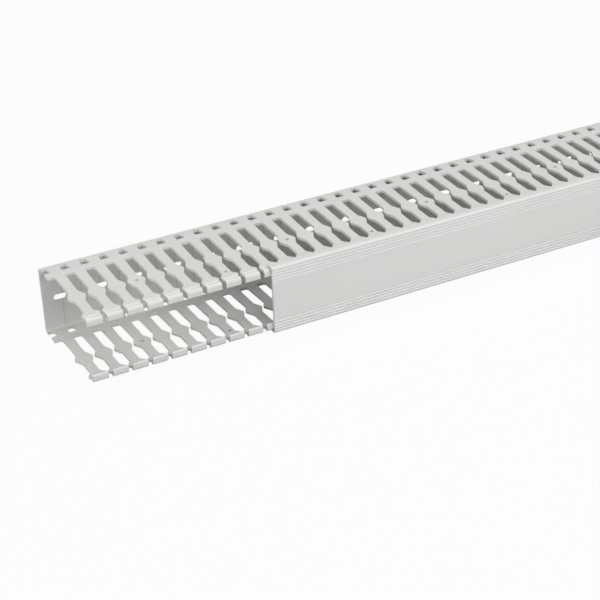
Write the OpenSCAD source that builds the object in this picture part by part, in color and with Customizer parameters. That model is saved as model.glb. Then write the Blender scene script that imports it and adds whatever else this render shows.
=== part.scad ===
// Slotted wiring duct with its clip-on cover, lying on one of its slotted walls.
// X runs along the duct, -Y is the open side that the cover closes, and +Z is up.
// The origin is the middle of the footprint, on the face that the duct lies on.
// Heights (h) are measured from the outside of the base towards the cover.

/* [Duct] */
// Length of the duct and of its cover
duct_len = 1000; // [500:12.5:2000]
// Outside width over the two slotted walls
duct_w = 45; // [40:1:80]
// Outside depth from the base to the face of the cover
duct_d = 75; // [72:1:110]
// Thickness of the base
base_t = 2; // [1.6:0.1:2.8]
// Thickness of the slotted walls
wall_t = 1.8; // [1.4:0.1:2.2]
// Outside radius where the base meets the walls
corner_r = 3; // [2.2:0.1:3.6]

/* [Finger slots] */
// Distance from one slot to the next
pitch = 12.5; // [12:0.5:16]
// Distance of the first slot's axis from the sawn end
first_slot = 1.65; // [1:0.05:2.6]
// Height of the slot roots above the base
root_h = 16.2; // [15:0.2:24]
// Width of a slot at its root
slot_root_w = 6; // [5:0.1:6.4]
// Width of a slot at its widest
slot_w = 6.8; // [6.4:0.1:7.6]
// Gap between two fingers at their waist bulges
waist_gap = 1.5; // [1:0.1:2.4]
// Height of the waist bulges above the base
waist_h = 44.5; // [42:0.5:48]
// Gap between two fingers at their tips
tip_gap = 1.5; // [1:0.1:2.4]
// Gap between the heads of two fingers
head_gap = 2.8; // [2:0.1:4]

/* [Finger heads] */
// Distance that the lip reaches in from the outside of the wall
lip_reach = 6.6; // [5.5:0.1:8]
// Thickness of the lip
lip_t = 1.8; // [1.2:0.1:2.2]
// Outside radius of the head
head_r = 1.6; // [1:0.1:1.8]

/* [Cover] */
// Thickness of the cover's plate
cover_t = 1.7; // [1.2:0.1:2]
// Thickness of the cover's two flanges
flange_t = 1.2; // [1:0.1:1.6]
// Depth of the flanges, from the face of the cover
flange_depth = 5.7; // [5.3:0.1:7]
// Height of the bead that snaps behind the finger heads
bead_t = 0.6; // [0.4:0.1:0.8]
// Outside radius of the cover's two long corners
cover_r = 1.6; // [1:0.1:2]
// Clearance between the cover and the finger heads
clip_gap = 0.3; // [0.2:0.05:0.4]
// Distance that the cover stands back from the sawn end
cover_back = 119.6; // [0:0.1:400]
// Number of fine grooves along each edge of the cover
rib_count = 4; // [1:1:5]
// Distance from one fine groove to the next
rib_pitch = 2; // [1.4:0.1:2.4]

/* [Holes] */
// Distance from one base slot to the next
mount_pitch = 25; // [20:1:50]
// Distance of the first base slot from the sawn end
first_mount = 11.2; // [8:0.1:14]
// Width of the base slots
mount_w = 4.3; // [3.5:0.1:5.5]
// Length of the short base slots
mount_short = 8.7; // [6:0.1:10]
// Length of the long base slots
mount_long = 12.4; // [10:0.1:16]
// Width of the break-out holes beside the base
break_w = 5.4; // [4:0.1:6]
// Width of the break-out holes at their edge beside the base
break_back_w = 3; // [2:0.1:4]
// Height of the break-out holes' near edge above the base
break_h = 4.2; // [4:0.1:5]
// Length of the break-out holes, measured away from the base
break_len = 6.6; // [5:0.1:7]
// Diameter of the pin holes in the fingers
pin_d = 2.5; // [1.5:0.1:3]
// Number of fingers from one pin hole to the next
pin_every = 4; // [2:1:8]
// Height of the pin holes in every other drilled finger, above the base
pin_high_h = 61.5; // [56:0.5:62]

/* [Hidden] */
grey = [0.79, 0.79, 0.77];
pale_grey = [0.86, 0.86, 0.85];
$fn = 48;
over = 1;           // how far cutters stand out of the material

// Along the duct
total_len = duct_len + cover_back;
duct_x = -total_len / 2;
cover_x = duct_x + cover_back;
slot_count = floor((duct_len - first_slot + slot_w / 2) / pitch) + 1;
pin_finger = pin_every - 1;
mount_margin = 6;
mount_count = floor((duct_len - first_mount - mount_long / 2 - mount_margin) / mount_pitch) + 1;

// Finger heads, from the cover's face backwards
half_w = duct_w / 2;
head_h = duct_d - cover_t - clip_gap;
flange_h = duct_d - flange_depth;
bead_len = 0.7;
groove_d = flange_t + bead_t + clip_gap;
head_set = flange_t + clip_gap;
groove_h = flange_h - clip_gap;
shoulder_h = groove_h - bead_t;
ramp_h = flange_h + bead_len + clip_gap;
ridge_h = ramp_h + bead_t;
bead_slope = 45;    // slope of the groove's two sides, in degrees
bevel_shift = wall_t * tan(bead_slope / 2);
inner_w = half_w - wall_t;
throat_w = inner_w - groove_d;
edge_r = 0.8;
inside_r = 1.2;
long_facets = 4;    // flats round a corner that runs the whole length
head_facets = 2;    // flats round a finger head
score_h = 12.6;
score_w = 0.7;
score_d = 0.35;

// Slots, between the root and the head
waist_run = 5.6;    // length of the bevels beside the waist
waist_len = 1.2;    // length of the narrowest stretch of the waist
tip_run = 3;        // length of the bevels behind the tip
tip_set = 2.6;      // distance of the tip from the groove behind the head
mouth_set = 1.6;    // distance that the wider head gap starts behind the cover
mouth_run = 0.6;    // length of the bevels that open the head gap
root_r = 1.1;
tip_h = groove_h - tip_set;
mouth_h = flange_h - mouth_set;

// Cover
rib_edge = 2.6;     // distance of the outermost groove from the cover's edge
rib_w = 1;
rib_d = 0.3;
cover_inside_r = 0.8;
trim_r = 0.2;

// A closed outline with its corners rounded.
// Each corner is [x, y, radius, flats], or [x, y] where it stays sharp.
function unit(v) = v / norm(v);
function turn(a) = a > 180 ? a - 360 : a < -180 ? a + 360 : a;
function direction(v) = atan2(v[1], v[0]);
function flat(c) = [c[0], c[1]];
function corner_arc(before, at, after, r, steps) =
    let(u = unit(before - at))
    let(v = unit(after - at))
    let(half_angle = acos(u * v) / 2)
    let(centre = at + unit(u + v) * r / sin(half_angle))
    let(reach = r / tan(half_angle))
    let(start = direction(at + u * reach - centre))
    let(sweep = turn(direction(at + v * reach - centre) - start))
    [for (i = [0:steps]) centre + r * [cos(start + sweep * i / steps), sin(start + sweep * i / steps)]];
function rounded(corners) =
    let(n = len(corners))
    [for (i = [0:n - 1])
        let(at = flat(corners[i]))
        let(before = flat(corners[(i + n - 1) % n]))
        let(after = flat(corners[(i + 1) % n]))
        each len(corners[i]) > 2 ? corner_arc(before, at, after, corners[i][2], corners[i][3]) : [at]];

// A half outline and its mirror image across the second or the first coordinate.
function flipped(corner, axis) = [for (i = [0:len(corner) - 1]) i == axis ? -corner[i] : corner[i]];
function both_sides(half) = concat(half, [for (i = [len(half) - 1:-1:0]) flipped(half[i], 1)]);
function left_of(side) = [for (i = [len(side) - 1:-1:0]) flipped(side[i], 0)];

// Draws a cross-section, given as [height, distance from the middle], along X.
module along_x(length, section) {
    rotate([90, 0, 90])
        linear_extrude(length)
            polygon([for (p = section) [duct_d / 2 - p[0], half_w + p[1]]]);
}

// Cuts an outline, given as [distance along the duct, height], through both walls.
module through_walls(x, outline) {
    translate([duct_x + x, duct_d / 2, -over])
        linear_extrude(duct_w + 2 * over)
            polygon([for (p = outline) [p[0], -p[1]]]);
}

// Half of the channel's cross-section: round the outside to the lip, then back inside.
// The fingers lean in from the score line, so that the cover ends flush with the base.
channel_half = [
    [0, half_w, corner_r, long_facets],
    [score_h, half_w],
    [shoulder_h, half_w - head_set],
    [groove_h, half_w - groove_d],
    [ramp_h, half_w - groove_d],
    [ridge_h, half_w - head_set],
    [head_h, half_w - head_set, head_r, head_facets],
    [head_h, half_w - lip_reach, edge_r, 1],
    [head_h - lip_t, half_w - lip_reach, edge_r, 1],
    [head_h - lip_t, throat_w],
    [groove_h - bevel_shift, throat_w],
    [shoulder_h - bevel_shift, inner_w - head_set],
    [score_h + score_w / 2, inner_w],
    [score_h, inner_w + score_d],
    [score_h - score_w / 2, inner_w],
    [base_t, inner_w, inside_r, long_facets]
];

// Right-hand side of a slot, from its root to past the finger heads.
slot_side = [
    [slot_root_w / 2, root_h, root_r, 1],
    [slot_w / 2, waist_h - waist_len / 2 - waist_run],
    [waist_gap / 2, waist_h - waist_len / 2],
    [waist_gap / 2, waist_h + waist_len / 2],
    [slot_w / 2, waist_h + waist_len / 2 + waist_run],
    [slot_w / 2, tip_h - tip_run],
    [tip_gap / 2, tip_h],
    [tip_gap / 2, mouth_h],
    [head_gap / 2, mouth_h + mouth_run],
    [head_gap / 2, duct_d]
];

// A slot that the sawn end runs through is open on that side.
open_side = [
    [slot_w, root_h],
    [slot_w, duct_d]
];

module finger_slots() {
    for (i = [0:slot_count - 1]) {
        x = first_slot + i * pitch;
        right = x <= duct_len && x + slot_w / 2 > duct_len ? open_side : slot_side;
        left = x < slot_w / 2 ? open_side : slot_side;
        through_walls(x, rounded(concat(right, left_of(left))));
    }
}

module break_out_holes() {
    side = [
        [break_back_w / 2, break_h],
        [break_w / 2, break_h + break_len / 2],
        [break_w / 2, break_h + break_len]
    ];
    for (i = [0:slot_count - 1])
        through_walls(first_slot + i * pitch, rounded(concat(side, left_of(side))));
}

module pin_holes() {
    for (i = [pin_finger:pin_every:slot_count - 2]) {
        low = i % (2 * pin_every) == pin_finger;
        x = duct_x + first_slot + i * pitch + pitch / 2;
        translate([x, duct_d / 2 - (low ? waist_h : pin_high_h), -over])
            cylinder(h = duct_w + 2 * over, d = pin_d);
    }
}

module base_slot(x, length) {
    depth = base_t + 2 * over;
    translate([duct_x + x, duct_d / 2 + over, half_w])
        rotate([90, 0, 0]) {
            for (side = [-1, 1])
                translate([side * (length - mount_w) / 2, 0, 0])
                    cylinder(h = depth, d = mount_w);
            translate([-(length - mount_w) / 2, -mount_w / 2, 0])
                cube([length - mount_w, mount_w, depth]);
        }
}

module base_slots() {
    for (i = [0:mount_count - 1])
        base_slot(first_mount + i * mount_pitch, i % 2 == 0 ? mount_short : mount_long);
}

// The channel: one extrusion with its slots and holes punched out.
module duct_channel() {
    color(grey)
        difference() {
            translate([duct_x, 0, 0])
                along_x(duct_len, rounded(both_sides(channel_half)));
            finger_slots();
            break_out_holes();
            pin_holes();
            base_slots();
        }
}

// Half of the cover's cross-section: across the face, round the flange and back inside.
function rib(i) =
    let(w = half_w - rib_edge - i * rib_pitch)
    [[duct_d, w - rib_w / 2], [duct_d - rib_d, w], [duct_d, w + rib_w / 2]];
cover_half = concat(
    [for (i = [rib_count - 1:-1:0]) each rib(i)],
    [
        [duct_d, half_w, cover_r, long_facets],
        [flange_h, half_w, trim_r, 1],
        [flange_h, half_w - flange_t - bead_t, trim_r, 1],
        [flange_h + bead_len, half_w - flange_t - bead_t],
        [flange_h + bead_len + bead_t, half_w - flange_t],
        [duct_d - cover_t, half_w - flange_t, cover_inside_r, long_facets]
    ]
);

module cover() {
    color(pale_grey)
        translate([cover_x, 0, 0])
            along_x(duct_len, rounded(both_sides(cover_half)));
}

duct_channel();
cover();
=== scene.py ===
import math

import bmesh
import bpy
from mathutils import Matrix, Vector


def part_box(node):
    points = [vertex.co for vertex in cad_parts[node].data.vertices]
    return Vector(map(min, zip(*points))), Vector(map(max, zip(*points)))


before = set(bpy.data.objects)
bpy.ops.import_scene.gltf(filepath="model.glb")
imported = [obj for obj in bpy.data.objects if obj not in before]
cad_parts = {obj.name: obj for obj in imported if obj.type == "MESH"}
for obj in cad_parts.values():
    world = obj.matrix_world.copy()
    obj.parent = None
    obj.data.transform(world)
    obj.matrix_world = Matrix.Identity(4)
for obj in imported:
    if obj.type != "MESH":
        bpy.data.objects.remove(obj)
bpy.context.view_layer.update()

# Sizes of the duct that its finishes follow, in metres
BASE_THICKNESS = 0.002
PITCH = 0.0125
FIRST_CREASE = 0.0124      # from the sawn end to the first crease across the base
CREASE_WIDTH = 0.0005
FACE_TOLERANCE = 0.0002    # how far off the base's inner face still counts as on it
EDGE_RADIUS = 0.00022
RELIEF_HEIGHT = 0.00003

# Colours, and how much darker or paler each mark makes them
DUCT_GREY = (0.60, 0.605, 0.585)
# The cover is the same PVC as the duct, painted a touch paler as painted light for its brightly
# lit front face
COVER_PAINTED_LIT_GREY = (0.625, 0.63, 0.618)
DIE_LINE_TONE = 0.014
CLOUD_TONE = 0.016
# Painted shade: how much darker the crease lines across the base are painted, standing in for
# shade inside them
CREASE_SHADE = 0.22

# Cells of each grain to the metre, along the duct, across it and up
DIE_LINE_CELLS = (1.5, 900.0, 900.0)
CLOUD_CELLS = (14.0, 30.0, 30.0)
SATIN_CELLS = (2600.0, 2600.0, 2600.0)
SCUFF_CELLS = (60.0, 420.0, 420.0)
GRAIN_LOW, GRAIN_HIGH = 0.3, 0.7
SCUFF_LOW, SCUFF_HIGH = 0.35, 0.7

# Shares of each mark in the relief, and the relief's strength
DIE_LINE_RELIEF = 0.45
SATIN_RELIEF = 0.3
CREASE_RELIEF = 2.0
RELIEF_STRENGTH = 0.35

# Roughness that the scuffs take away and add, and that the edges add
SCUFF_POLISH = 0.05
SCUFF_MATT = 0.06
EDGE_MATT = 0.1
PVC_IOR = 1.52

# Cosine of the rounded normal's turn, where an edge starts and where it is full
EDGE_START, EDGE_FULL = 0.995, 0.86
FACES_COVER = -0.7         # normals with less than this across the duct face the cover

# Studio: the sky's strength on the duct, and how the floor looks to the camera
SKY_STRENGTH = 0.26
FLOOR_REACH = 6.0          # from the floor's middle to its sides, in metres
FLOOR_GREY = (0.55, 0.55, 0.55, 1.0)
FLOOR_GLOW = 0.94          # share of the floor that is plain white to the camera

# Name, place, what it points at, size in metres, and power in watts
SOFTBOXES = [
    ("front_softbox", (0.3, -2.6, 1.3), (-0.1, 0.0, 0.02), (2.6, 1.2), 47.0),
    ("left_softbox", (-2.6, -0.2, 1.0), (-0.3, 0.0, 0.02), (1.6, 1.0), 26.0),
    ("top_softbox", (-0.2, 0.7, 2.4), (-0.1, 0.0, 0.02), (2.4, 1.0), 27.0),
    ("edge_softbox", (0.9, -1.2, 1.9), (-0.2, 0.0, 0.02), (1.6, 0.35), 16.0),
]

CAMERA_PLACE = (-0.7980, -0.7846, 0.4878)
CAMERA_TURN = (60.67, 1.99, -27.80)    # degrees
LENS_LENGTH = 95.2                     # millimetres, as is the sensor's width
SENSOR_WIDTH = 36.0
CLIP_NEAR, CLIP_FAR = 0.05, 50.0


# ---------------------------------------------------------------- node helpers

class Recipe:
    """A material's node tree, built up one node at a time."""

    def __init__(self, name):
        self.material = bpy.data.materials.new(name)
        self.material.use_nodes = True
        self.tree = self.material.node_tree
        self.tree.nodes.clear()

    def node(self, kind, inputs=None, **settings):
        made = self.tree.nodes.new(kind)
        for key, value in settings.items():
            setattr(made, key, value)
        for socket, value in (inputs or {}).items():
            if isinstance(value, bpy.types.NodeSocket):
                self.tree.links.new(value, made.inputs[socket])
            else:
                made.inputs[socket].default_value = value
        return made

    def maths(self, operation, *values):
        inputs = dict(enumerate(values))
        return self.node("ShaderNodeMath", inputs, operation=operation).outputs[0]

    def share(self, value, part):
        return self.maths("MULTIPLY", value, part)

    def grain(self, place, cells, detail):
        """Noise from 0 to 1 with its own number of cells to the metre along each axis."""
        mapped = self.node("ShaderNodeMapping", {"Vector": place, "Scale": cells})
        noise = self.node(
            "ShaderNodeTexNoise",
            {"Vector": mapped.outputs[0], "Scale": 1.0, "Detail": detail, "Roughness": 0.5},
        )
        return noise.outputs["Fac"]

    def ramp(self, value, low, high, to_low, to_high):
        made = self.node(
            "ShaderNodeMapRange",
            {
                "Value": value,
                "From Min": low,
                "From Max": high,
                "To Min": to_low,
                "To Max": to_high,
            },
        )
        return made.outputs[0]

    def finish(self, shader):
        self.node("ShaderNodeOutputMaterial", {"Surface": shader})
        return self.material


# ---------------------------------------------------------------- finishes

def extruded_pvc(name, grey, roughness, edge_highlight, creased_and_shaded):
    """Rigid grey PVC: die lines along the length, a fine satin grain, and edges painted paler
    as a painted highlight.
    """
    r = Recipe(name)
    place = r.node("ShaderNodeTexCoord").outputs["Object"]
    true_normal = r.node("ShaderNodeNewGeometry").outputs["True Normal"]

    die_lines = r.grain(place, DIE_LINE_CELLS, detail=3.0)
    clouds = r.grain(place, CLOUD_CELLS, detail=2.0)
    satin = r.grain(place, SATIN_CELLS, detail=2.0)
    scuffs = r.grain(place, SCUFF_CELLS, detail=4.0)

    rounded = r.node("ShaderNodeBevel", {"Radius": EDGE_RADIUS}, samples=6).outputs[0]
    facing = r.node(
        "ShaderNodeVectorMath", {0: rounded, 1: true_normal}, operation="DOT_PRODUCT"
    ).outputs["Value"]
    edge = r.ramp(facing, EDGE_START, EDGE_FULL, 0.0, 1.0)

    tone = r.maths(
        "ADD",
        r.ramp(die_lines, GRAIN_LOW, GRAIN_HIGH, -DIE_LINE_TONE, DIE_LINE_TONE),
        r.ramp(clouds, GRAIN_LOW, GRAIN_HIGH, -CLOUD_TONE, CLOUD_TONE),
    )
    # Painted highlight: the rounded edges are painted paler here, standing in for light caught
    # on their bends.
    tone = r.maths("ADD", tone, r.share(edge, edge_highlight))
    relief = r.maths(
        "ADD", r.share(die_lines, DIE_LINE_RELIEF), r.share(satin, SATIN_RELIEF)
    )

    if creased_and_shaded:
        crease = base_creases(r, place, true_normal)
        # Painted shade: the crease lines are painted darker, standing in for shade inside them;
        # the relief below cuts the real groove.
        tone = r.maths("SUBTRACT", tone, r.share(crease, CREASE_SHADE))
        relief = r.maths("SUBTRACT", relief, r.share(crease, CREASE_RELIEF))

    colour = r.node(
        "ShaderNodeVectorMath", {0: grey, "Scale": r.maths("ADD", tone, 1.0)}, operation="SCALE"
    ).outputs["Vector"]
    polish = r.ramp(
        scuffs, SCUFF_LOW, SCUFF_HIGH, roughness - SCUFF_POLISH, roughness + SCUFF_MATT
    )
    bump = r.node(
        "ShaderNodeBump",
        {
            "Strength": RELIEF_STRENGTH,
            "Distance": RELIEF_HEIGHT,
            "Height": relief,
            "Normal": rounded,
        },
    ).outputs[0]
    shader = r.node(
        "ShaderNodeBsdfPrincipled",
        {
            "Base Color": colour,
            "Roughness": r.maths("ADD", polish, r.share(edge, EDGE_MATT)),
            "IOR": PVC_IOR,
            "Normal": bump,
        },
    )
    return r.finish(shader.outputs[0])


def base_creases(r, place, true_normal):
    """1 in the fine creases that cross the inside of the base once a pitch, 0 elsewhere."""
    lowest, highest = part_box("duct_channel")
    xyz = r.node("ShaderNodeSeparateXYZ", {0: place}).outputs
    along = r.maths("SUBTRACT", xyz[0], lowest.x + FIRST_CREASE - PITCH / 2)
    in_pitch = r.maths("WRAP", along, PITCH, 0.0)
    from_crease = r.maths("ABSOLUTE", r.maths("SUBTRACT", in_pitch, PITCH / 2))
    line = r.ramp(from_crease, CREASE_WIDTH / 4, CREASE_WIDTH, 1.0, 0.0)

    inner_face = highest.y - BASE_THICKNESS - FACE_TOLERANCE
    on_base = r.maths("GREATER_THAN", xyz[1], inner_face)
    across = r.node("ShaderNodeSeparateXYZ", {0: true_normal}).outputs[1]
    faces_cover = r.maths("LESS_THAN", across, FACES_COVER)
    return r.maths("MULTIPLY", line, r.maths("MULTIPLY", on_base, faces_cover))


def finish_piece(piece, material):
    for slot in piece.material_slots:
        slot.material = material


finish_piece(
    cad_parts["duct_channel"],
    extruded_pvc("duct_pvc_satin", DUCT_GREY, roughness=0.38, edge_highlight=0.09, creased_and_shaded=True),
)
finish_piece(
    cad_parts["cover"],
    extruded_pvc("cover_pvc_satin", COVER_PAINTED_LIT_GREY, roughness=0.36, edge_highlight=0.08, creased_and_shaded=False),
)


# ---------------------------------------------------------------- studio

def add_to_scene(name, data):
    made = bpy.data.objects.new(name, data)
    bpy.context.scene.collection.objects.link(made)
    return made


def studio_floor():
    """A white floor that still takes the duct's shadow."""
    plate = bmesh.new()
    bmesh.ops.create_grid(plate, x_segments=1, y_segments=1, size=FLOOR_REACH)
    mesh = bpy.data.meshes.new("studio_floor")
    plate.to_mesh(mesh)
    plate.free()
    floor = add_to_scene("studio_floor", mesh)

    r = Recipe("floor_white")
    matt = r.node("ShaderNodeBsdfDiffuse", {"Color": FLOOR_GREY}).outputs[0]
    glow = r.node("ShaderNodeEmission", {"Strength": 1.0}).outputs[0]
    seen = r.share(r.node("ShaderNodeLightPath").outputs["Is Camera Ray"], FLOOR_GLOW)
    mixed = r.node("ShaderNodeMixShader", {0: seen, 1: matt, 2: glow}).outputs[0]
    floor.data.materials.append(r.finish(mixed))


def studio_sky():
    """A sky that is white to the camera and dimmer on the duct."""
    world = bpy.data.worlds.new("studio_sky")
    world.use_nodes = True
    bpy.context.scene.world = world
    tree = world.node_tree
    sky = tree.nodes["Background"]
    sky.inputs["Color"].default_value = (1.0, 1.0, 1.0, 1.0)
    path = tree.nodes.new("ShaderNodeLightPath")
    seen = tree.nodes.new("ShaderNodeMapRange")
    seen.inputs["To Min"].default_value = SKY_STRENGTH
    seen.inputs["To Max"].default_value = 1.0
    tree.links.new(path.outputs["Is Camera Ray"], seen.inputs["Value"])
    tree.links.new(seen.outputs[0], sky.inputs["Strength"])


def softbox(name, place, target, size, power):
    lamp = bpy.data.lights.new(name, "AREA")
    lamp.shape = "RECTANGLE"
    lamp.size, lamp.size_y = size
    lamp.energy = power
    box = add_to_scene(name, lamp)
    box.location = place
    away = box.location - Vector(target)
    box.rotation_euler = away.to_track_quat("Z", "Y").to_euler()


studio_floor()
studio_sky()
for row in SOFTBOXES:
    softbox(*row)


# ---------------------------------------------------------------- camera

lens = bpy.data.cameras.new("camera")
lens.lens = LENS_LENGTH
lens.sensor_width = SENSOR_WIDTH
lens.clip_start, lens.clip_end = CLIP_NEAR, CLIP_FAR
camera = add_to_scene("camera", lens)
camera.location = CAMERA_PLACE
camera.rotation_euler = [math.radians(angle) for angle in CAMERA_TURN]
bpy.context.scene.camera = camera
bpy.context.scene.view_settings.view_transform = "Standard"
